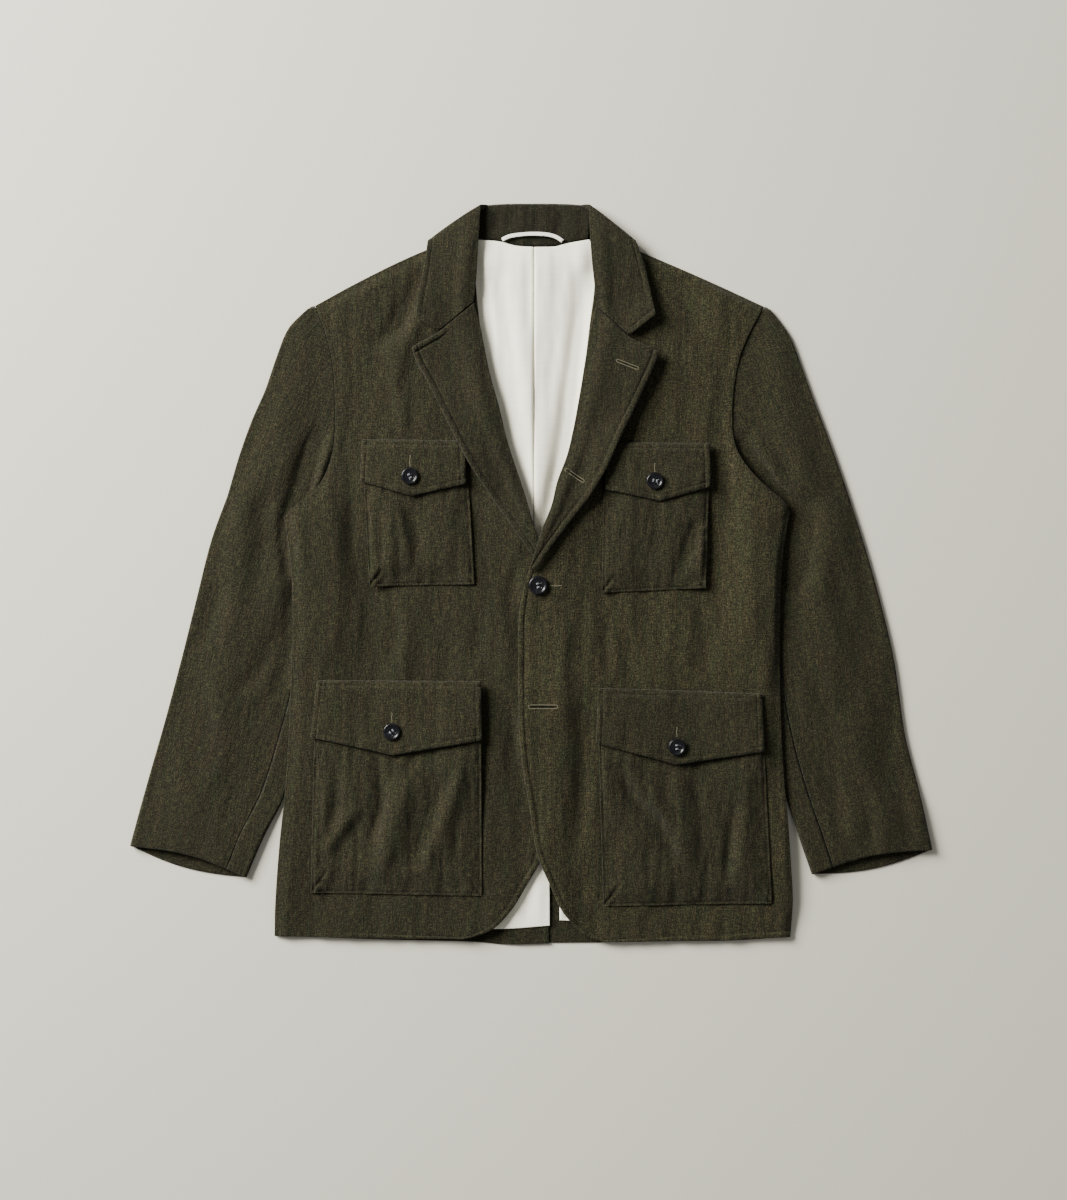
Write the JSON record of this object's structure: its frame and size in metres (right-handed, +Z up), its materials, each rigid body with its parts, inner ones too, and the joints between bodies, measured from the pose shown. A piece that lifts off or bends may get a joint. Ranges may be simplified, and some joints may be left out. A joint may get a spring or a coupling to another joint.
{
  "type": "field jacket",
  "caption": "Olive tailored field jacket with notched lapels and flapped patch pockets, laid flat front side up, cream lining showing at the neck and hem.",
  "frame": {"origin": "middle of the laid jacket's outline, on the surface it lies on", "axes": "+X to the right of someone looking down on the front, +Y from hem to collar, +Z up from the surface"},
  "size_m": [0.8492, 0.784, 0.0191],
  "materials": {
    "olive_cloth": "dark olive slubby linen and wool weave, matt, soft pressed edges",
    "lining_cream": "smooth off-white cotton lining, faint sheen",
    "ribbon_cream": "off-white woven tape",
    "button_horn": "dark blue-black polished horn-like resin, four holes and a raised rim"
  },
  "bodies": {
    "root": {"back_left": "olive_cloth", "back_right": "olive_cloth", "lining_left": "lining_cream", "lining_right": "lining_cream", "front_left": "olive_cloth", "front_right": "olive_cloth", "sleeve_top_left": "olive_cloth", "sleeve_under_left": "olive_cloth", "sleeve_top_right": "olive_cloth", "sleeve_under_right": "olive_cloth", "collar": "olive_cloth", "collar_stand": "olive_cloth", "lapel_left": "olive_cloth", "lapel_right": "olive_cloth", "pocket_chest_left": "olive_cloth", "pocket_chest_right": "olive_cloth", "pocket_lower_left": "olive_cloth", "pocket_lower_right": "olive_cloth", "flap_chest_left": "olive_cloth", "flap_chest_right": "olive_cloth", "flap_lower_left": "olive_cloth", "flap_lower_right": "olive_cloth", "hanger_loop": "ribbon_cream", "button_front": "button_horn", "button_front_lower": "button_horn", "button_chest_left": "button_horn", "button_chest_right": "button_horn", "button_lower_left": "button_horn", "button_lower_right": "button_horn"}
  },
  "joints": []
}
